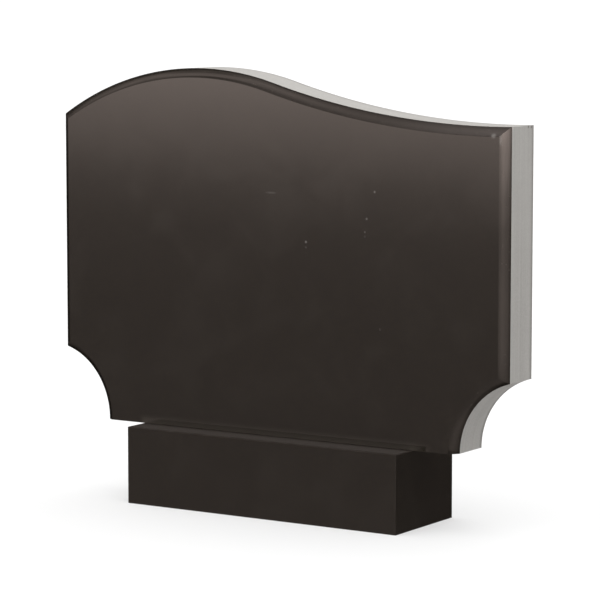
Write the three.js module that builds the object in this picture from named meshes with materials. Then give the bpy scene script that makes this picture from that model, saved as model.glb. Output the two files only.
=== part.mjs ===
// A blank headstone in dark polished stone. An upright slab, with a wave-shaped top, lower
// corners scooped out by arcs and a bevel along its front edge, stands on a low plinth.
// Millimetres, +Z up. The front faces -Y, and the origin is under the middle of the plinth.
import * as THREE from "three";
import { mergeVertices } from "three/addons/utils/BufferGeometryUtils.js";

// Slab
const slabWidth = 1000;
const slabThickness = 100;
const shoulderHeight = 600; // left shoulder and lowest point of the hollow, above the slab's foot
const crestRise = 94; // crest above the shoulders
const crestFromLeft = 320; // crest, from the left side
const hollowFromRight = 36; // lowest point of the hollow, from the right side
const scoopRadius = 142; // lower corners, centred on the level of the foot
const scoopCentreOut = 39; // scoop's centre, outside the slab's side
const bevelWidth = 17; // front bevel, seen from the front
const bevelDepth = 16; // front bevel, seen from the side

// Plinth
const plinthLength = 606;
const plinthHeight = 150;
const plinthLedge = 55; // step left in front of the slab, and behind it
const plinthCornerRadius = 2; // upright corners
const plinthArrisRadius = 1; // top edges

// Clearance of the bed between the slab's foot and the plinth
const bedJoint = 0.3;

// Facets along each round stretch
const crestSteps = 48;
const hollowSteps = 48;
const scoopSteps = 24;
const cornerSteps = 6;
const arrisSteps = 4;

// The slab's sides, and the circles of the wave. The crest circle passes through the left
// shoulder, and the hollow circle touches the crest circle and is level at its lowest point.
const side = slabWidth / 2;
const crestX = crestFromLeft - side;
const hollowX = side - hollowFromRight;
const crestToHollow = hollowX - crestX;
const crestRadius = (crestFromLeft ** 2 + crestRise ** 2) / (2 * crestRise);
const hollowRadius = (crestToHollow ** 2 + crestRise ** 2) / (2 * crestRise) - crestRadius;
const crestCentre = new THREE.Vector2(crestX, shoulderHeight + crestRise - crestRadius);
const hollowCentre = new THREE.Vector2(hollowX, shoulderHeight + hollowRadius);

const plinthDepth = slabThickness + 2 * plinthLedge;

// Points along an arc, without its end point, which starts the next stretch.
function arc(centre, radius, from, to, steps) {
  const curve = new THREE.EllipseCurve(centre.x, centre.y, radius, radius, from, to, to < from);
  return curve.getPoints(steps).slice(0, -1);
}

// The slab's outline seen from the front, anticlockwise from the left end of its foot. With an
// inset, every edge but the foot moves inwards by it, which gives the bevel's inner edge.
function slabOutline(inset) {
  const scoop = scoopRadius + inset;
  const scoopEnd = Math.acos((scoopCentreOut + inset) / scoop);
  const hollow = hollowRadius + inset;
  const crest = crestRadius - inset;
  const edge = side - inset;
  const join = hollowCentre.clone().sub(crestCentre).angle();
  return [
    new THREE.Vector2(scoop - side - scoopCentreOut, 0),
    ...arc(new THREE.Vector2(side + scoopCentreOut, 0), scoop, Math.PI, Math.PI - scoopEnd, scoopSteps),
    new THREE.Vector2(edge, scoop * Math.sin(scoopEnd)),
    ...arc(hollowCentre, hollow, Math.asin((edge - hollowX) / hollow) - Math.PI / 2, join - Math.PI, hollowSteps),
    ...arc(crestCentre, crest, join, Math.acos((-edge - crestX) / crest), crestSteps),
    new THREE.Vector2(-edge, crestCentre.y + Math.sqrt(crest ** 2 - (edge + crestX) ** 2)),
    ...arc(new THREE.Vector2(-side - scoopCentreOut, 0), scoop, scoopEnd, 0, scoopSteps),
  ];
}

// The plinth's outline seen from above, anticlockwise, moved inwards by an inset.
function plinthOutline(inset) {
  const radius = plinthCornerRadius - inset;
  const x = plinthLength / 2 - plinthCornerRadius;
  const y = plinthDepth / 2 - plinthCornerRadius;
  const corners = [[x, y], [-x, y], [-x, -y], [x, -y]];
  return corners.flatMap(([cornerX, cornerY], turn) => {
    const from = (turn * Math.PI) / 2;
    const curve = new THREE.EllipseCurve(cornerX, cornerY, radius, radius, from, from + Math.PI / 2);
    return curve.getPoints(cornerSteps);
  });
}

// A closed solid through level rings, from the lowest to the highest. The rings have equal
// numbers of points, run anticlockwise seen from above, and flat caps close both ends.
function loft(rings) {
  const count = rings[0].outline.length;
  const positions = rings.flatMap(({ outline, height }) => outline.flatMap((p) => [p.x, p.y, height]));
  const faces = [];
  for (let ring = 0; ring + 1 < rings.length; ring += 1) {
    for (let i = 0; i < count; i += 1) {
      const a = ring * count + i;
      const b = ring * count + ((i + 1) % count);
      faces.push(a, b, b + count, a, b + count, a + count);
    }
  }
  const top = (rings.length - 1) * count;
  for (const [a, b, c] of THREE.ShapeUtils.triangulateShape(rings[0].outline, [])) {
    faces.push(c, b, a);
  }
  for (const [a, b, c] of THREE.ShapeUtils.triangulateShape(rings.at(-1).outline, [])) {
    faces.push(top + a, top + b, top + c);
  }
  const geometry = new THREE.BufferGeometry();
  geometry.setAttribute("position", new THREE.Float32BufferAttribute(positions, 3));
  geometry.setIndex(faces);
  return mergeVertices(geometry);
}

// The slab is lofted from its back to its front, then stood up with its front towards -Y.
function slab() {
  const geometry = loft([
    { outline: slabOutline(0), height: 0 },
    { outline: slabOutline(0), height: slabThickness - bevelDepth },
    { outline: slabOutline(bevelWidth), height: slabThickness },
  ]);
  geometry.rotateX(Math.PI / 2);
  const stone = new THREE.MeshStandardMaterial({ color: 0x3a3532, roughness: 0.15, metalness: 0 });
  const mesh = new THREE.Mesh(geometry, stone);
  mesh.name = "slab";
  mesh.position.set(0, slabThickness / 2, plinthHeight + bedJoint);
  return mesh;
}

// The plinth is square at its underside and quarter-round along its top edges.
function plinth() {
  const rings = [{ outline: plinthOutline(0), height: 0 }];
  for (let i = 0; i <= arrisSteps; i += 1) {
    const angle = ((i / arrisSteps) * Math.PI) / 2;
    const inset = plinthArrisRadius * (1 - Math.cos(angle));
    const height = plinthHeight - plinthArrisRadius * (1 - Math.sin(angle));
    rings.push({ outline: plinthOutline(inset), height });
  }
  const stone = new THREE.MeshStandardMaterial({ color: 0x2b2725, roughness: 0.15, metalness: 0 });
  const mesh = new THREE.Mesh(loft(rings), stone);
  mesh.name = "plinth";
  return mesh;
}

const headstone = new THREE.Group();
headstone.add(plinth(), slab());

export default headstone;
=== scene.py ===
"""Looks of a blank headstone: a polished slab with sawn edges, standing on a polished plinth.

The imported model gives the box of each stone. The slab and the plinth are made again here from
the same outlines, finer and with softened arrises, and dressed with procedural stone. Lengths
are in metres, the front faces -Y, and the origin is on the ground under the plinth.
"""
import math
import bpy
import numpy as np
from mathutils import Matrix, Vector


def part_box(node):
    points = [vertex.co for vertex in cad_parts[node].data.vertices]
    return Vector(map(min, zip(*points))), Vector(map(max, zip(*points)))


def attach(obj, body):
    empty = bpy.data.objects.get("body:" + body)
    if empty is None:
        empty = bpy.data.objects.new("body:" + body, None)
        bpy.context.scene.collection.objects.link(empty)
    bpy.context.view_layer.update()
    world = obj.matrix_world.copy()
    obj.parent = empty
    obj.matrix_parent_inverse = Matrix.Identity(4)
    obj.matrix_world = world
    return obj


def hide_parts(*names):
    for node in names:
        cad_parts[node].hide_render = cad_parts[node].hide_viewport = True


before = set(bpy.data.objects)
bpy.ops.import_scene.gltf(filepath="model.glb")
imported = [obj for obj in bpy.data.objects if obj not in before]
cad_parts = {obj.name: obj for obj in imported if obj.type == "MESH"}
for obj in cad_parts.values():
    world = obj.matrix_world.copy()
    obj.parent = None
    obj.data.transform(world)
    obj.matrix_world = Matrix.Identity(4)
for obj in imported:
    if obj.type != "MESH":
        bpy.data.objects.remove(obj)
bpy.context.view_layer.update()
slab_low, slab_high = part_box("slab")
plinth_low, plinth_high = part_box("plinth")

# The slab's outline. What the box doesn't give is repeated from the part's own sizes.
SIDE = slab_high.x
FOOT = slab_low.z
FRONT = slab_low.y
BACK = slab_high.y
CREST_RISE = 0.094
CREST_X = -0.180
HOLLOW_X = 0.464
SHOULDER = slab_high.z - FOOT - CREST_RISE
SCOOP_RADIUS = 0.142
SCOOP_CENTRE_OUT = 0.039
SCOOP_CENTRE = SIDE + SCOOP_CENTRE_OUT
BEVEL_WIDTH = 0.017
BEVEL_DEPTH = 0.016

# The wave's two circles: the crest circle through the left shoulder, and the hollow circle
# that touches it.
CREST_RUN = CREST_X + SIDE
CREST_RADIUS = (CREST_RUN**2 + CREST_RISE**2) / (2 * CREST_RISE)
HOLLOW_RUN = HOLLOW_X - CREST_X
HOLLOW_RADIUS = (HOLLOW_RUN**2 + CREST_RISE**2) / (2 * CREST_RISE) - CREST_RADIUS
CREST_CENTRE = np.array([CREST_X, SHOULDER + CREST_RISE - CREST_RADIUS])
HOLLOW_CENTRE = np.array([HOLLOW_X, SHOULDER + HOLLOW_RADIUS])

# The plinth's rounds
CORNER_RADIUS = 0.002
ARRIS_RADIUS = 0.001

# Softening of the slab's own arrises
BACK_ARRIS = 0.003
BEVEL_CROWN = math.radians(18.5)
FACE_ARRIS = 0.004

# Flat rims between the last arris of a stone and its cap
SLAB_RIM = 0.006
PLINTH_RIM = 0.0004

# Steps along each round stretch
CREST_STEPS = 96
HOLLOW_STEPS = 96
SCOOP_STEPS = 40
CORNER_STEPS = 12
ARRIS_STEPS = 8

# Camera, as the photograph was taken: from the right of the front, a little above
VIEW_AZIMUTH = math.radians(32.70)
VIEW_PITCH = math.radians(6.45)
VIEW_DISTANCE = 5.386
VIEW_AIM = Vector((0.0196, 0.0126, 0.406))
VIEW_LENS = 169.65
VIEW_SENSOR = 36.0

# Colours of the stone, polished and sawn
POLISHED_DARK = (0.0022, 0.0018, 0.0010, 1)
POLISHED_LIGHT = (0.0072, 0.0056, 0.0038, 1)
POLISHED_FLECK = (0.04, 0.035, 0.028, 1)
SAWN_DARK = (0.234, 0.230, 0.219, 1)
SAWN_LIGHT = (0.345, 0.339, 0.324, 1)
SAWN_FRESH = (0.46, 0.45, 0.43, 1)
CHIPPED = (0.06, 0.055, 0.05, 1)

# Colours of what lies on it, and of painted highlights, painted shade and the paler foot
WIPING_HAZE = (0.026, 0.023, 0.019, 1)
DUST_AND_HIGHLIGHT = (0.26, 0.248, 0.236, 1)
END_DUST = (0.26, 0.220, 0.210, 1)
LEDGE_DUST = (0.034, 0.031, 0.028, 1)
FOOT_PALER = (0.033, 0.028, 0.023, 1)
GRIME_AND_SHADE = (0.05, 0.047, 0.042, 1)

# Size of the mineral grains under the polish and on the sawn sides, and the saw lines' spacing
POLISHED_GRAIN = 0.0028
SAWN_GRAIN = 0.0022
SAW_SPACING = 0.006

# Share of the flecks' own colour that shows through the polish
FLECKS_SHOW = 0.5

# Gloss and relief of the stone: the polish runs between two roughnesses with its wiping marks,
# which leave this much haze at most
STONE_IOR = 1.5
POLISH_SMOOTHEST = 0.055
POLISH_ROUGHEST = 0.085
HAZE_MOST = 0.10
SAWN_ROUGHNESS = 0.72
RIPPLE_RELIEF = 0.00022
SAW_RELIEF = 0.0003
# Ripples to the metre along the bevel's edge and across it
RIPPLES_ALONG = 7.0
RIPPLES_ACROSS = 260.0

# Dust on the plinth's ledge: it grows over the first width out from the slab, which leaves the
# ledge dark next to the slab as painted shade, thins over the second width at the ledge's edge,
# and keeps this share there
SLAB_SHADE_WIDTH = 0.018
LEDGE_DUST_THINS = 0.010
LEDGE_DUST_KEPT = 0.45
# The slab's face is painted lighter just over its foot: how high that reaches, and where it is
# none and full, measured from the plinth's left end and from its right end
FOOT_PALER_HEIGHT = 0.020
FOOT_PALER_LEFT = (-0.015, 0.005)
FOOT_PALER_RIGHT = (0.045, 0.005)
# The upper bevel's polish grows duller from the first of these places to the second
DULL_FROM = -0.22
DULL_TO = 0.20
# How much dust shows on the upper bevel's right end
END_DUST_SHOWS = 0.080
# Roughness added by dust on the ledge and by the bevel's dull end, and that of the spots of dust
# and of painted highlight
LEDGE_DULLING = 0.45
END_DULLING = 0.35
SPOT_ROUGHNESS = 0.6

# The slab's sawn sides, and how strongly each effect shows. Painted shade grows from the first
# height over the foot down to the second. The back edge is soiled up to the first depth, and
# fully up to the second. The strip before the polish's crease is fresher from the first distance
# to it, and fully so from the second.
SHADE_FROM = 0.60
SHADE_TO = 0.20
SHADE_SHOWS = 0.09
SOILED_TO = 0.014
SOILED_FULL = 0.004
SOIL_SHOWS = 0.42
FRESH_FROM = 0.007
FRESH_FULL = 0.002
FRESH_SHOWS = 0.10

# Dust specks on the slab's face, the last of them a soft painted highlight at its upper right
# corner: place across and up, size, and how thickly the dust lies or how strongly it shows
SPECKS_AND_HIGHLIGHT = [
    ((0.0729, 0.5245), 0.0033, 0.33),
    ((0.0729, 0.5145), 0.0028, 0.12),
    ((0.2058, 0.5739), 0.0032, 0.24),
    ((0.2228, 0.6243), 0.0032, 0.28),
    ((0.2020, 0.5492), 0.0028, 0.17),
    ((0.2020, 0.5409), 0.0028, 0.09),
    ((0.2354, 0.3702), 0.0030, 0.08),
    ((0.4707, 0.7353), 0.0070, 0.32),
]
# A wiping smear on the face, then two streaked painted highlights at its upper right corner:
# place, half length, half height and how strongly each shows
SMEAR_AND_HIGHLIGHTS = [
    ((-0.005, 0.6138), 0.017, 0.0028, 0.10),
    ((0.4850, 0.7280), 0.0040, 0.0140, 0.18),
    ((0.4680, 0.7400), 0.0120, 0.0050, 0.05),
]
# How far behind the face's plane the smear and the painted highlights still show
MARK_DEPTH = 0.006
# Small chips at the right side's upper back corner: how far back and how high, and size
EDGE_CHIPS = [((0.0272, 0.7483), 0.0036), ((0.0383, 0.7475), 0.0036)]
CHIPS_SHOW = 0.8

# The floor, and the sky that lights the matt faces: its strength level with the eye, how much it
# gains overhead, and how it changes towards the right and towards the back
FLOOR_HALF = 400.0
FLOOR_SHADE = (0.33, 0.33, 0.33, 1)
FLOOR_GLOW = 0.42
WHITE = (1.0, 1.0, 1.0, 1)
SKY_LEVEL = 0.6
SKY_GAIN = 4.1
SKY_ACROSS = -0.07
SKY_DEPTH = -0.15
# The light that the polish mirrors: its tint, the tip of its band, and the heights between
# which the band gives way to the soft box
MIRRORED_TINT = (1.0, 0.83, 0.75, 1)
BAND_TIP = 0.009
BOX_FROM = 0.06
BOX_FULL = 0.13


# Outlines


def arc(centre, radius, start, end, steps, side=1):
    """An arc's points, without its end point, with the outward normals of each step's two ends.

    A point is the centre plus the radius along its angle, which runs evenly from start to end.
    The normal is that direction, or its opposite where the stone lies outside the circle.
    """
    angle = np.linspace(start, end, steps + 1)
    ray = np.stack([np.cos(angle), np.sin(angle)], axis=1)
    return np.asarray(centre) + radius * ray[:-1], side * ray[:-1], side * ray[1:]


def line(start, normal):
    """A straight stretch: its start point, with one normal for both its ends."""
    normal = np.array([normal], float)
    return np.array([start], float), normal, normal


def slab_outline(inset):
    """The slab seen from the front, anticlockwise from the left end of its foot.

    With an inset, every circle's radius and the sides move into the stone by that much, and the
    foot stays where it is. Corners lie where the moved circles meet the moved sides.
    """
    scoop = SCOOP_RADIUS + inset
    edge = SIDE - inset
    scoop_end = math.acos((SCOOP_CENTRE - edge) / scoop)
    hollow = HOLLOW_RADIUS + inset
    crest = CREST_RADIUS - inset
    across, up = HOLLOW_CENTRE - CREST_CENTRE
    join = math.atan2(up, across)
    shoulder_right = math.asin((edge - HOLLOW_X) / hollow) - math.pi / 2
    shoulder_left = math.acos((-edge - CREST_X) / crest)
    left_top = CREST_CENTRE[1] + crest * math.sin(shoulder_left)
    return [
        line((scoop - SCOOP_CENTRE, 0), (0, -1)),
        arc((SCOOP_CENTRE, 0), scoop, math.pi, math.pi - scoop_end, SCOOP_STEPS, side=-1),
        line((edge, scoop * math.sin(scoop_end)), (1, 0)),
        arc(HOLLOW_CENTRE, hollow, shoulder_right, join - math.pi, HOLLOW_STEPS, side=-1),
        arc(CREST_CENTRE, crest, join, shoulder_left, CREST_STEPS),
        line((-edge, left_top), (-1, 0)),
        arc((-SCOOP_CENTRE, 0), scoop, scoop_end, 0, SCOOP_STEPS, side=-1),
    ]


def plinth_outline(inset):
    """The plinth seen from above, anticlockwise: four corner arcs and the straights between."""
    radius = CORNER_RADIUS - inset
    x = plinth_high.x - CORNER_RADIUS
    y = plinth_high.y - CORNER_RADIUS
    stretches = []
    for turn, (corner_x, corner_y) in enumerate([(x, y), (-x, y), (-x, -y), (x, -y)]):
        start = turn * math.pi / 2
        end = start + math.pi / 2
        stretches.append(arc((corner_x, corner_y), radius, start, end, CORNER_STEPS))
        ray = np.array([math.cos(end), math.sin(end)])
        stretches.append(line(np.array([corner_x, corner_y]) + radius * ray, ray))
    return stretches


def rounded(points, radii, steps=ARRIS_STEPS):
    """A section's points with each inner corner turned into an arc of its radius.

    A section runs in (inset, height). Its tilt is the angle of the surface's normal above the
    outline's own normal. Each arc touches both its straights, so the tilt is the same on both
    sides of every point, except at a corner of radius zero, which stays a crease.
    """
    points = np.array(points, float)
    run = np.diff(points, axis=0)
    tilt = np.arctan2(run[:, 0], run[:, 1])
    sections = [(points[:1], tilt[:1])]
    for corner, radius, before, after in zip(points[1:-1], radii, tilt[:-1], tilt[1:]):
        if radius == 0:
            sections.append((np.stack([corner, corner]), np.array([before, after])))
            continue
        reach = radius * math.tan((after - before) / 2)
        start = corner - reach * np.array([math.sin(before), math.cos(before)])
        turn = np.linspace(before, after, steps + 1)
        inset = start[0] + radius * (math.cos(before) - np.cos(turn))
        height = start[1] + radius * (np.sin(turn) - math.sin(before))
        sections.append((np.stack([inset, height], axis=1), turn))
    sections.append((points[-1:], tilt[-1:]))
    return np.concatenate([s[0] for s in sections]), np.concatenate([s[1] for s in sections])


# Meshes


def loft(name, outline, section, tilt, axes, finish_from, materials, flat=()):
    """A closed stone: the outline, moved inwards and along its depth as the section says.

    Ring r is outline(inset r) at height r, placed by the three axes. A face lies between two
    neighbouring points of two neighbouring rings, and two caps close the ends. Each face corner
    gets the exact normal: the outline's normal turned by the section's tilt. Stretches listed in
    flat keep their own normal, as the foot does. Faces whose ring is finish_from or later take
    the second material, and so does the last cap; the rest take the first. The UV map holds
    length along the outline and height.
    """
    rings = [[np.concatenate(part) for part in zip(*outline(inset))] for inset, _ in section]
    flat_points = np.concatenate([
        np.full(len(stretch[0]), index in flat) for index, stretch in enumerate(outline(0))
    ])
    heights = section[:, 1]
    around = len(rings[0][0])
    points = np.concatenate([
        np.column_stack([ring[0], np.full(around, height)]) for ring, height in zip(rings, heights)
    ])
    bands = [r for r in range(len(rings) - 1) if not np.allclose(section[r], section[r + 1])]
    k = np.arange(around)
    ahead = (k + 1) % around
    step = np.linalg.norm(rings[0][0][ahead] - rings[0][0], axis=1)
    along = np.concatenate([[0], np.cumsum(step)])

    def turned(normal, angle):
        lean = np.where(flat_points, 0.0, angle)
        return np.column_stack([normal * np.cos(lean)[:, None], np.sin(lean)])

    used = sorted({r for band in bands for r in (band, band + 1)})
    # a crease is listed twice in the section, and both its rings share one set of vertices
    share = {}
    for r in range(len(rings)):
        twin = r > 0 and np.allclose(section[r], section[r - 1])
        share[r] = share[r - 1] if twin else r
    kept = sorted({share[r] for r in used})
    row = {r: index for index, r in enumerate(kept)}
    vertices = points.reshape(len(rings), around, 3)[kept].reshape(-1, 3)
    faces, normals, uvs, slots = [], [], [], []
    for r in bands:
        low = row[share[r]] * around
        high = row[share[r + 1]] * around
        faces.append(np.column_stack([low + k, low + ahead, high + ahead, high + k]))
        corner_normals = [
            turned(rings[r][1], tilt[r]),
            turned(rings[r][2], tilt[r]),
            turned(rings[r + 1][2], tilt[r + 1]),
            turned(rings[r + 1][1], tilt[r + 1]),
        ]
        normals.append(np.stack(corner_normals, axis=1).reshape(-1, 3))
        u = np.stack([along[:-1], along[1:], along[1:], along[:-1]], axis=1)
        v = np.tile([heights[r], heights[r], heights[r + 1], heights[r + 1]], (around, 1))
        uvs.append(np.stack([u, v], axis=2).reshape(-1, 2))
        slots.append(np.full(around, int(r >= finish_from)))
    top = row[share[len(rings) - 1]] * around
    caps = [(k[::-1], 0, -1.0), (top + k, 1, 1.0)]
    for corners, slot, facing in caps:
        normals.append(np.tile([0.0, 0.0, facing], (around, 1)))
        uvs.append(vertices[corners][:, :2])
        slots.append(np.array([slot]))
    polygons = np.concatenate(faces).tolist() + [corners.tolist() for corners, _, _ in caps]

    axes = np.array(axes, float)
    mesh = bpy.data.meshes.new(name)
    mesh.from_pydata((vertices @ axes).tolist(), [], polygons)
    for finish in materials:
        mesh.materials.append(finish)
    mesh.polygons.foreach_set("material_index", np.concatenate(slots).astype(np.int32))
    mesh.polygons.foreach_set("use_smooth", np.ones(len(polygons), bool))
    mesh.uv_layers.new(name="stone").uv.foreach_set("vector", np.concatenate(uvs).ravel())
    mesh.update()
    mesh.normals_split_custom_set((np.concatenate(normals) @ axes).tolist())
    piece = bpy.data.objects.new(name, mesh)
    bpy.context.scene.collection.objects.link(piece)
    return piece


def place(piece, offset):
    """Moves the piece's vertices, so that its object stays at the origin."""
    points = np.empty(len(piece.data.vertices) * 3)
    piece.data.vertices.foreach_get("co", points)
    moved = points.reshape(-1, 3) + np.array(offset)
    piece.data.vertices.foreach_set("co", moved.ravel())
    piece.data.update()
    return piece


# Shader helpers


class Nodes:
    """Adds nodes to a tree and links their sockets, so that a material reads as a recipe."""

    def __init__(self, tree):
        self.tree = tree

    def link(self, value, socket):
        self.tree.links.new(value, socket)

    def fill(self, node, values):
        """Fills a node's inputs: a socket is linked to its input, and a plain value is set."""
        for socket, value in values.items():
            if isinstance(value, bpy.types.NodeSocket):
                self.link(value, node.inputs[socket])
            else:
                node.inputs[socket].default_value = value
        return node

    def add(self, kind, values=None, **settings):
        node = self.tree.nodes.new(kind)
        for key, value in settings.items():
            setattr(node, key, value)
        return self.fill(node, values or {})

    def use(self, shared, **values):
        """A shared group, placed here with its own values."""
        return self.add("ShaderNodeGroup", values, node_tree=shared).outputs

    def math(self, operation, *values):
        return self.add("ShaderNodeMath", dict(enumerate(values)), operation=operation).outputs[0]

    def vector(self, operation, *values):
        node = self.add("ShaderNodeVectorMath", dict(enumerate(values)), operation=operation)
        return node.outputs["Value" if operation == "LENGTH" else "Vector"]

    def split(self, value):
        return self.add("ShaderNodeSeparateXYZ", {0: value}).outputs

    def remap(self, value, low, high, to_low=0.0, to_high=1.0, smooth=True):
        """Value taken from low..high to to_low..to_high, and held at those ends."""
        node = self.add("ShaderNodeMapRange", {0: value, 1: low, 2: high, 3: to_low, 4: to_high})
        node.interpolation_type = "SMOOTHSTEP" if smooth else "LINEAR"
        return node.outputs[0]

    def ramp(self, value, stops):
        """A curve through (place, grey value) stops, scaled back to the largest value."""
        node = self.add("ShaderNodeValToRGB", {0: value})
        node.color_ramp.interpolation = "EASE"
        peak = max(grey for _, grey in stops)
        elements = node.color_ramp.elements
        while len(elements) < len(stops):
            elements.new(1.0)
        for element, (position, grey) in zip(elements, stops):
            element.position = position
            element.color = (grey / peak, grey / peak, grey / peak, 1)
        return self.math("MULTIPLY", node.outputs["Color"], peak)

    def noise(self, path, scale, detail, roughness, distortion=0.0):
        values = {"Vector": path, "Scale": scale, "Detail": detail, "Roughness": roughness}
        node = self.add("ShaderNodeTexNoise", {**values, "Distortion": distortion})
        return node.outputs["Fac"]

    def mix(self, factor, first, second):
        """First colour where the factor is 0, second colour where it is 1."""
        node = self.add("ShaderNodeMix", data_type="RGBA")
        return self.fill(node, {0: factor, 6: first, 7: second}).outputs[2]

    def blend(self, factor, first, second):
        """First value where the factor is 0, second value where it is 1."""
        change = self.math("SUBTRACT", second, first)
        return self.math("MULTIPLY_ADD", change, factor, first)


def group(name, inputs, outputs):
    """A new shader node group with named sockets. Returns its recipe and its two end nodes."""
    tree = bpy.data.node_groups.new(name, "ShaderNodeTree")
    for socket, (kind, default) in inputs.items():
        made = tree.interface.new_socket(socket, in_out="INPUT", socket_type=kind)
        if default is not None:
            made.default_value = default
    for socket, kind in outputs.items():
        tree.interface.new_socket(socket, in_out="OUTPUT", socket_type=kind)
    nodes = Nodes(tree)
    return nodes, nodes.add("NodeGroupInput").outputs, nodes.add("NodeGroupOutput").inputs


VALUE = "NodeSocketFloat"
VECTOR = "NodeSocketVector"


def crystal_group():
    """Interlocking mineral grains: each cell of a fine cell pattern has its own shade, over
    cloudy shades from noise. In a second, coarser cell pattern the few cells whose random value
    is high are flecks, which are brightest in their middle."""
    inputs = {"Position": (VECTOR, None), "Grain": (VALUE, 0.003)}
    nodes, given, out = group("stone_crystals", inputs, {"Shade": VALUE, "Fleck": VALUE})
    size = nodes.math("DIVIDE", 1.0, given["Grain"])
    cells = nodes.add("ShaderNodeTexVoronoi", {"Vector": given["Position"], "Scale": size})
    shade = nodes.add("ShaderNodeSeparateColor", {0: cells.outputs["Color"]}).outputs[0]
    clouds = nodes.noise(given["Position"], scale=22.0, detail=4.0, roughness=0.6)
    cell_shade = nodes.math("MULTIPLY", shade, 0.7)
    nodes.link(nodes.math("MULTIPLY_ADD", clouds, 0.6, cell_shade), out["Shade"])
    coarse = nodes.math("MULTIPLY", size, 0.6)
    sparse = nodes.add("ShaderNodeTexVoronoi", {"Vector": given["Position"], "Scale": coarse})
    chance = nodes.add("ShaderNodeSeparateColor", {0: sparse.outputs["Color"]}).outputs[1]
    rare = nodes.remap(chance, 0.90, 0.97)
    near = nodes.remap(sparse.outputs["Distance"], 0.45, 0.15)
    nodes.link(nodes.math("MULTIPLY", rare, near), out["Fleck"])
    return nodes.tree


def saw_group():
    """Saw marks: noise stretched far along one direction, in a broad and a fine set of lines."""
    inputs = {"Path": (VECTOR, None), "Spacing": (VALUE, 0.006)}
    nodes, given, out = group("saw_marks", inputs, {"Tone": VALUE, "Height": VALUE})
    per_metre = nodes.math("DIVIDE", 1.0, given["Spacing"])
    x, y, _ = nodes.split(given["Path"])
    sets = []
    for finer, drift, share in ((1.0, 1.5, 0.6), (4.5, 6.0, 0.4)):
        across = nodes.math("MULTIPLY", nodes.math("MULTIPLY", y, per_metre), finer)
        along = nodes.math("MULTIPLY", x, drift)
        path = nodes.add("ShaderNodeCombineXYZ", {0: along, 1: across}).outputs[0]
        lines = nodes.noise(path, scale=1.0, detail=2.0, roughness=0.55)
        sets.append(nodes.math("MULTIPLY", lines, share))
    both = nodes.math("ADD", *sets)
    nodes.link(nodes.remap(both, 0.3, 0.7, smooth=False), out["Tone"])
    nodes.link(both, out["Height"])
    return nodes.tree


def spot_group():
    """A soft oval spot: one at its place, falling smoothly to nothing at its half size."""
    inputs = {
        "Position": (VECTOR, None),
        "Place": (VECTOR, (0, 0, 0)),
        "Size": (VECTOR, (0.003, 0.003, 0.003)),
        "Strength": (VALUE, 1.0),
    }
    nodes, given, out = group("soft_spot", inputs, {"Mask": VALUE})
    away = nodes.vector("SUBTRACT", given["Position"], given["Place"])
    away = nodes.vector("LENGTH", nodes.vector("DIVIDE", away, given["Size"]))
    mask = nodes.math("MULTIPLY", nodes.remap(away, 1.0, 0.2), given["Strength"])
    nodes.link(mask, out["Mask"])
    return nodes.tree


def wiping_group():
    """Marks of wiping on a polish: one broad, drifting noise makes it a little rougher and
    leaves a thin haze on it."""
    inputs = {"Position": (VECTOR, None)}
    nodes, given, out = group("wiping_marks", inputs, {"Rough": VALUE, "Haze": VALUE})
    wiping = nodes.noise(
        given["Position"], scale=9.0, detail=3.0, roughness=0.5, distortion=0.6,
    )
    rough = nodes.remap(wiping, 0.35, 0.75, POLISH_SMOOTHEST, POLISH_ROUGHEST)
    nodes.link(rough, out["Rough"])
    nodes.link(nodes.remap(wiping, 0.45, 0.70, 0.0, HAZE_MOST), out["Haze"])
    return nodes.tree


def ripple_group():
    """Ripples from grinding: noise stretched along the edge, which shows only where the surface
    slants, and faces neither straight ahead nor far aside."""
    inputs = {"Path": (VECTOR, None), "Ahead": (VALUE, 1.0)}
    nodes, given, out = group("grinding_ripples", inputs, {"Height": VALUE})
    from_face = nodes.remap(given["Ahead"], 0.98, 0.92)
    from_side = nodes.remap(given["Ahead"], 0.40, 0.50)
    slanting = nodes.math("MULTIPLY", from_face, from_side)
    x, y, _ = nodes.split(given["Path"])
    along = nodes.math("MULTIPLY", x, RIPPLES_ALONG)
    across = nodes.math("MULTIPLY", y, RIPPLES_ACROSS)
    path = nodes.add("ShaderNodeCombineXYZ", {0: along, 1: across}).outputs[0]
    ripple = nodes.noise(path, scale=1.0, detail=1.5, roughness=0.5)
    nodes.link(nodes.math("MULTIPLY", ripple, slanting), out["Height"])
    return nodes.tree


CRYSTALS = crystal_group()
SAW_MARKS = saw_group()
SOFT_SPOT = spot_group()
WIPING_MARKS = wiping_group()
RIPPLES = ripple_group()


def material(name):
    """A new material with its shader and its output, and the recipe that adds nodes to it."""
    made = bpy.data.materials.new(name)
    made.use_nodes = True
    made.node_tree.nodes.clear()
    nodes = Nodes(made.node_tree)
    shader = nodes.add("ShaderNodeBsdfPrincipled")
    nodes.add("ShaderNodeOutputMaterial", {0: shader.outputs[0]})
    return made, nodes, shader


def spots(nodes, position, marks):
    """The greatest of several soft spots, each given as place, half size and strength."""
    masks = [
        nodes.use(SOFT_SPOT, Position=position, Place=spot, Size=size, Strength=strength)["Mask"]
        for spot, size, strength in marks
    ]
    most = masks[0]
    for mask in masks[1:]:
        most = nodes.math("MAXIMUM", most, mask)
    return most


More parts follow.
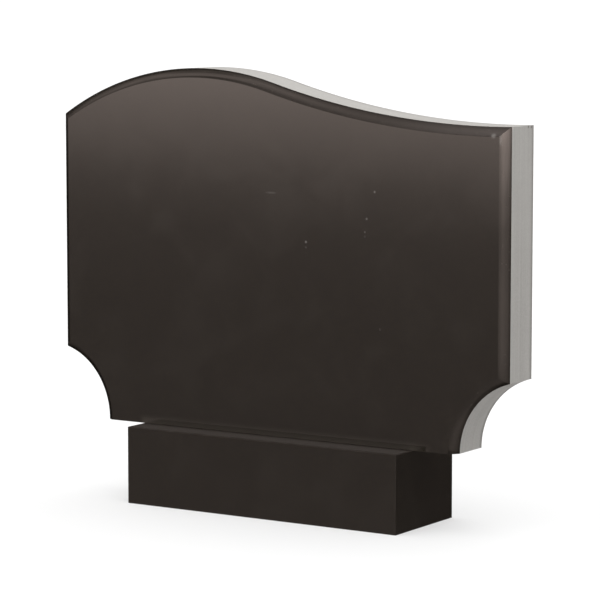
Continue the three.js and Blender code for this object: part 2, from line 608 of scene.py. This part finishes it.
def polished_stone(name, paler_foot=None, dull_end=None, ledge=None, marks=()):
    """Dark stone with a mirror polish: near-black grains, a few grey flecks and faint wiping
    marks, with ripples from grinding where the surface slants.

    A ledge runs between two distances from the middle. Dust lies on it, growing from none at the
    slab, so that the ledge stays dark next to the slab as painted shade, and what faces up is
    dull. A dull end is two places: what slants up grows dull from the first to the second, and
    from the second to the right side it grows dusty too. The face is painted lighter just over
    the height of a paler foot, as far as the plinth reaches. Marks are soft spots of dust, and
    some of them are painted highlights.
    """
    made, nodes, shader = material(name)
    here = nodes.add("ShaderNodeTexCoord").outputs
    position = here["Object"]
    facing = nodes.split(here["Normal"])
    x, y, z = nodes.split(position)
    crystals = nodes.use(CRYSTALS, Position=position, Grain=POLISHED_GRAIN)
    colour = nodes.mix(crystals["Shade"], POLISHED_DARK, POLISHED_LIGHT)
    colour = nodes.mix(
        nodes.math("MULTIPLY", crystals["Fleck"], FLECKS_SHOW), colour, POLISHED_FLECK,
    )
    wiping = nodes.use(WIPING_MARKS, Position=position)
    rough = wiping["Rough"]
    colour = nodes.mix(wiping["Haze"], colour, WIPING_HAZE)
    if ledge is not None:
        inner, outer = ledge
        away = nodes.math("ABSOLUTE", y)
        level = nodes.remap(facing[2], 0.90, 1.0)
        # Painted shade: the ledge is kept bare and dark next to the slab
        past_slab_shade = nodes.remap(away, inner, inner + SLAB_SHADE_WIDTH)
        thinned = nodes.remap(away, outer, outer - LEDGE_DUST_THINS, LEDGE_DUST_KEPT, 1.0)
        lying = nodes.math("MULTIPLY", nodes.math("MULTIPLY", level, past_slab_shade), thinned)
        colour = nodes.mix(lying, colour, LEDGE_DUST)
        upward = nodes.remap(facing[2], 0.05, 0.30)
        rough = nodes.math("MULTIPLY_ADD", upward, LEDGE_DULLING, rough)
    if dull_end is not None:
        upward = nodes.remap(facing[2], 0.15, 0.40)
        dull = nodes.math("MULTIPLY", upward, nodes.remap(x, *dull_end, smooth=False))
        rough = nodes.math("MULTIPLY_ADD", dull, END_DULLING, rough)
        dusty = nodes.math("MULTIPLY", upward, nodes.remap(x, dull_end[1], SIDE - BEVEL_WIDTH))
        colour = nodes.mix(nodes.math("MULTIPLY", dusty, END_DUST_SHOWS), colour, END_DUST)
    if paler_foot is not None:
        # The face is painted lighter just over the foot, along the plinth's length
        left_none, left_full = (plinth_low.x + past for past in FOOT_PALER_LEFT)
        right_none, right_full = (plinth_high.x + past for past in FOOT_PALER_RIGHT)
        from_left = nodes.remap(x, left_none, left_full)
        from_right = nodes.remap(x, right_none, right_full, smooth=False)
        over_plinth = nodes.math("MULTIPLY", from_left, from_right)
        low = nodes.remap(z, paler_foot + FOOT_PALER_HEIGHT, paler_foot)
        colour = nodes.mix(nodes.math("MULTIPLY", low, over_plinth), colour, FOOT_PALER)
    if marks:
        # Dust specks and a smear, and painted highlights at the upper right corner, in one pale
        # colour
        dust_and_highlight = spots(nodes, position, marks)
        colour = nodes.mix(dust_and_highlight, colour, DUST_AND_HIGHLIGHT)
        rough = nodes.math("MAXIMUM", rough, nodes.math("MULTIPLY", dust_and_highlight, SPOT_ROUGHNESS))
    path = nodes.add("ShaderNodeUVMap", uv_map="stone").outputs[0]
    ahead = nodes.math("MULTIPLY", facing[1], -1.0)
    ripples = nodes.use(RIPPLES, Path=path, Ahead=ahead)["Height"]
    bump = {"Height": ripples, "Distance": RIPPLE_RELIEF, "Strength": 1.0}
    nodes.fill(shader, {
        "Base Color": colour,
        "Roughness": rough,
        "IOR": STONE_IOR,
        "Normal": nodes.add("ShaderNodeBump", bump).outputs[0],
    })
    return made


def sawn_stone(name, crease=None, chips=()):
    """The same stone left from the saw: light grey, matt, with fine lines along the cut.

    Given the height of the crease where the polish begins, the strip beside it is fresher, the
    strip at the back edge is soiled, and the sides are painted darker towards the foot as
    shade. Chips are small dark spots.
    """
    made, nodes, shader = material(name)
    position = nodes.add("ShaderNodeTexCoord").outputs["Object"]
    path = nodes.add("ShaderNodeUVMap", uv_map="stone").outputs[0]
    crystals = nodes.use(CRYSTALS, Position=position, Grain=SAWN_GRAIN)
    marks = nodes.use(SAW_MARKS, Path=path, Spacing=SAW_SPACING)
    lines = nodes.math("MULTIPLY", marks["Tone"], 0.6)
    grains = nodes.math("MULTIPLY", crystals["Shade"], 0.4)
    colour = nodes.mix(nodes.math("ADD", lines, grains), SAWN_DARK, SAWN_LIGHT)
    if crease is not None:
        height = nodes.split(path)[1]
        z = nodes.split(position)[2]
        # Painted shade: the sides grow darker towards the foot
        shaded_low = nodes.remap(z, FOOT + SHADE_FROM, FOOT + SHADE_TO)
        soiled = nodes.remap(height, SOILED_TO, SOILED_FULL)
        fresh = nodes.remap(height, crease - FRESH_FROM, crease - FRESH_FULL)
        colour = nodes.mix(nodes.math("MULTIPLY", shaded_low, SHADE_SHOWS), colour, GRIME_AND_SHADE)
        colour = nodes.mix(nodes.math("MULTIPLY", soiled, SOIL_SHOWS), colour, GRIME_AND_SHADE)
        colour = nodes.mix(nodes.math("MULTIPLY", fresh, FRESH_SHOWS), colour, SAWN_FRESH)
    if chips:
        colour = nodes.mix(spots(nodes, position, chips), colour, CHIPPED)
    relief = nodes.math("ADD", marks["Height"], nodes.math("MULTIPLY", crystals["Shade"], 0.3))
    bump = {"Height": relief, "Distance": SAW_RELIEF, "Strength": 0.5}
    nodes.fill(shader, {
        "Base Color": colour,
        "Roughness": SAWN_ROUGHNESS,
        "IOR": STONE_IOR,
        "Normal": nodes.add("ShaderNodeBump", bump).outputs[0],
    })
    return made


# The two stones


def slab():
    """The slab's section runs from the back, along the sawn side, over the crowned bevel to the
    polished face. The bevel starts in a crease, where the polish stops at the saw cut. It is an
    arc over its straight line, and its ends turn away from that line by the crown's angle."""
    depth = BACK - FRONT
    crease = depth - BEVEL_DEPTH
    slope = math.atan2(BEVEL_WIDTH, BEVEL_DEPTH)
    tangent = math.hypot(BEVEL_WIDTH, BEVEL_DEPTH) / 2 / math.cos(BEVEL_CROWN)
    rise = slope - BEVEL_CROWN
    peak = (tangent * math.sin(rise), crease + tangent * math.cos(rise))
    face_reach = FACE_ARRIS * math.tan((math.pi / 2 - slope - BEVEL_CROWN) / 2)
    crown_radius = (tangent - face_reach) / math.tan(BEVEL_CROWN)
    corners = [
        (SLAB_RIM, 0),
        (0, 0),
        (0, crease),
        peak,
        (BEVEL_WIDTH, depth),
        (BEVEL_WIDTH + SLAB_RIM, depth),
    ]
    section, tilt = rounded(corners, [BACK_ARRIS, 0, crown_radius, FACE_ARRIS])
    polish_from = int(np.flatnonzero(np.isclose(section[:, 1], crease))[-1])
    # Dust specks, a wiping smear and the painted highlights at the face's upper right corner
    marks = [((x, FRONT, z), (size, size, size), much) for (x, z), size, much in SPECKS_AND_HIGHLIGHT]
    for (x, z), length, height, much in SMEAR_AND_HIGHLIGHTS:
        marks.append(((x, FRONT, z), (length, MARK_DEPTH, height), much))
    polished = polished_stone(
        "polished_face", paler_foot=FOOT, dull_end=(DULL_FROM, DULL_TO), marks=marks,
    )
    chips = [((SIDE, y, z), (size, size, size), CHIPS_SHOW) for (y, z), size in EDGE_CHIPS]
    sawn = sawn_stone("sawn_edge", crease=crease, chips=chips)
    axes = [(1, 0, 0), (0, 0, 1), (0, -1, 0)]
    finishes = [sawn, polished]
    piece = loft(
        "slab_stone", slab_outline, section, tilt, axes, polish_from, finishes, flat=[0],
    )
    return place(piece, (0, BACK, FOOT))


def plinth():
    """The plinth's section runs up its polished side and over the quarter-round top arris. Its
    underside is sawn."""
    height = plinth_high.z
    corners = [(0, 0), (0, height), (ARRIS_RADIUS + PLINTH_RIM, height)]
    section, tilt = rounded(corners, [ARRIS_RADIUS])
    polished = polished_stone("polished_plinth", ledge=(-FRONT, -plinth_low.y))
    sawn = sawn_stone("sawn_bed")
    axes = np.eye(3)
    return loft("plinth_stone", plinth_outline, section, tilt, axes, 0, [sawn, polished])


# The stage and the camera


def pale_floor():
    """A flat square that glows a little, so that it stays pale, and shows in no reflection."""
    corners = [(-1, -1, 0), (1, -1, 0), (1, 1, 0), (-1, 1, 0)]
    mesh = bpy.data.meshes.new("floor")
    mesh.from_pydata((np.array(corners) * FLOOR_HALF).tolist(), [], [(0, 1, 2, 3)])
    floor = bpy.data.objects.new("floor", mesh)
    bpy.context.scene.collection.objects.link(floor)
    made, nodes, shader = material("pale_floor")
    nodes.fill(shader, {
        "Base Color": FLOOR_SHADE,
        "Emission Color": WHITE,
        "Emission Strength": FLOOR_GLOW,
        "Roughness": 1.0,
        "Specular IOR Level": 0.0,
    })
    mesh.materials.append(made)
    floor.visible_glossy = False
    return floor


def mirrored_light(nodes, x, y, z):
    """How bright the light is that the polish mirrors, in the direction x, y, z.

    Low down it is a band at eye level, tipped a little: a curve over height, and another for its
    right end, times a curve over depth that fades it behind. Higher up it is a soft box: a curve
    over depth, and another for its two ends. A curve from side to side multiplies both.
    """
    tip = nodes.remap(x, -0.64, -0.44, -BAND_TIP, BAND_TIP, smooth=False)
    height = nodes.math("MULTIPLY_ADD", nodes.math("ADD", z, tip), 0.5, 0.5)
    depth = nodes.math("MULTIPLY_ADD", y, 0.5, 0.5)
    across = nodes.math("MULTIPLY_ADD", x, 0.5, 0.5)
    front_band = nodes.ramp(height, [
        (0.413, 0.49), (0.440, 0.53), (0.455, 0.66), (0.4635, 0.98), (0.4735, 2.0),
        (0.4825, 3.1), (0.500, 3.6), (0.520, 3.0), (0.550, 0.55), (1.0, 0.5),
    ])
    right_band = nodes.ramp(height, [
        (0.355, 0.42), (0.395, 0.42), (0.405, 0.15), (0.427, 0.15), (0.4395, 0.79),
        (0.467, 0.78), (0.4765, 2.6), (0.4825, 4.5), (0.500, 5.2), (0.520, 3.4), (0.550, 0.55),
    ])
    right = nodes.remap(x, -0.3, 0.3)
    least_behind = nodes.remap(right, 0.0, 1.0, 0.03, 0.45, smooth=False)
    backwards = nodes.ramp(depth, [
        (0.36, 1.0), (0.52, 0.50), (0.63, 0.02), (0.80, 0.02), (0.94, 0.30), (1.0, 0.30),
    ])
    fading = nodes.math("MAXIMUM", least_behind, backwards)
    band = nodes.math("MULTIPLY", nodes.blend(right, front_band, right_band), fading)
    box_middle = nodes.ramp(depth, [
        (0.0, 0.85), (0.15, 0.90), (0.195, 0.60), (0.22, 0.40), (0.24, 0.60), (0.27, 1.42),
        (0.30, 1.70), (0.375, 1.40), (0.42, 0.88), (0.485, 0.42), (0.52, 0.62), (0.56, 0.35),
        (0.62, 0.12), (1.0, 0.12),
    ])
    box_ends = nodes.ramp(depth, [
        (0.0, 0.85), (0.15, 0.90), (0.195, 0.75), (0.25, 0.95), (0.295, 1.40), (0.375, 1.80),
        (0.445, 1.50), (0.515, 0.95), (0.61, 0.18), (1.0, 0.12),
    ])
    left_end = nodes.remap(x, -0.60, -0.70)
    right_end = nodes.remap(x, -0.45, -0.30)
    soft_box = nodes.blend(nodes.math("MAXIMUM", left_end, right_end), box_middle, box_ends)
    over = nodes.remap(z, BOX_FROM, BOX_FULL)
    low_share = nodes.math("MULTIPLY", band, nodes.math("SUBTRACT", 1.0, over))
    high_share = nodes.math("MULTIPLY", soft_box, over)
    sideways = nodes.ramp(across, [
        (0.0, 0.10), (0.04, 0.20), (0.08, 0.55), (0.13, 0.72), (0.21, 1.0), (0.5, 1.2),
        (0.66, 1.4), (0.85, 2.0), (1.0, 1.5),
    ])
    return nodes.math("MULTIPLY", nodes.math("ADD", low_share, high_share), sideways)


def sky_light(nodes, x, y, z):
    """How bright the sky is that lights the matt faces: it grows with the square of the height,
    and it is a little brighter in front and on the left."""
    above = nodes.math("MAXIMUM", z, 0.0)
    squared = nodes.math("MULTIPLY", above, above)
    sky = nodes.math("MULTIPLY_ADD", squared, SKY_GAIN, SKY_LEVEL)
    lean = nodes.math("MULTIPLY_ADD", y, SKY_DEPTH, nodes.math("MULTIPLY_ADD", x, SKY_ACROSS, 1.0))
    return nodes.math("MULTIPLY", sky, lean)


def stage():
    """A pale floor under a studio that is plain white to the camera. The polish mirrors a band
    and a soft box of tinted light, and the matt faces are lit by a pale sky."""
    scene = bpy.context.scene
    scene.view_settings.view_transform = "Standard"
    floor = pale_floor()

    world = bpy.data.worlds.new("studio")
    scene.world = world
    world.use_nodes = True
    world.cycles.sampling_method = "NONE"
    world.node_tree.nodes.clear()
    nodes = Nodes(world.node_tree)
    x, y, z = nodes.split(nodes.add("ShaderNodeTexCoord").outputs["Generated"])
    mirrored = mirrored_light(nodes, x, y, z)
    glow = nodes.add("ShaderNodeBackground", {"Color": MIRRORED_TINT, "Strength": mirrored})
    soft = nodes.add("ShaderNodeBackground", {"Strength": sky_light(nodes, x, y, z)})
    plain = nodes.add("ShaderNodeBackground", {"Color": WHITE, "Strength": 1.0})
    rays = nodes.add("ShaderNodeLightPath").outputs
    lit = {0: rays["Is Glossy Ray"], 1: soft.outputs[0], 2: glow.outputs[0]}
    seen = {
        0: rays["Is Camera Ray"],
        1: nodes.add("ShaderNodeMixShader", lit).outputs[0],
        2: plain.outputs[0],
    }
    surface = nodes.add("ShaderNodeMixShader", seen).outputs[0]
    nodes.add("ShaderNodeOutputWorld", {0: surface})


def camera():
    """Looks along the view azimuth, tipped down by the pitch, at the aim from the distance."""
    data = bpy.data.cameras.new("camera")
    data.lens = VIEW_LENS
    data.sensor_width = VIEW_SENSOR
    eye = bpy.data.objects.new("camera", data)
    bpy.context.scene.collection.objects.link(eye)
    ahead = Vector((
        -math.sin(VIEW_AZIMUTH) * math.cos(VIEW_PITCH),
        math.cos(VIEW_AZIMUTH) * math.cos(VIEW_PITCH),
        -math.sin(VIEW_PITCH),
    ))
    eye.location = VIEW_AIM - ahead * VIEW_DISTANCE
    eye.rotation_mode = "QUATERNION"
    eye.rotation_quaternion = ahead.to_track_quat("-Z", "Y")
    bpy.context.scene.camera = eye


camera()
stage()

slab_stone = slab()
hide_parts("slab")
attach(slab_stone, "root")

plinth_stone = plinth()
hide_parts("plinth")
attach(plinth_stone, "root")
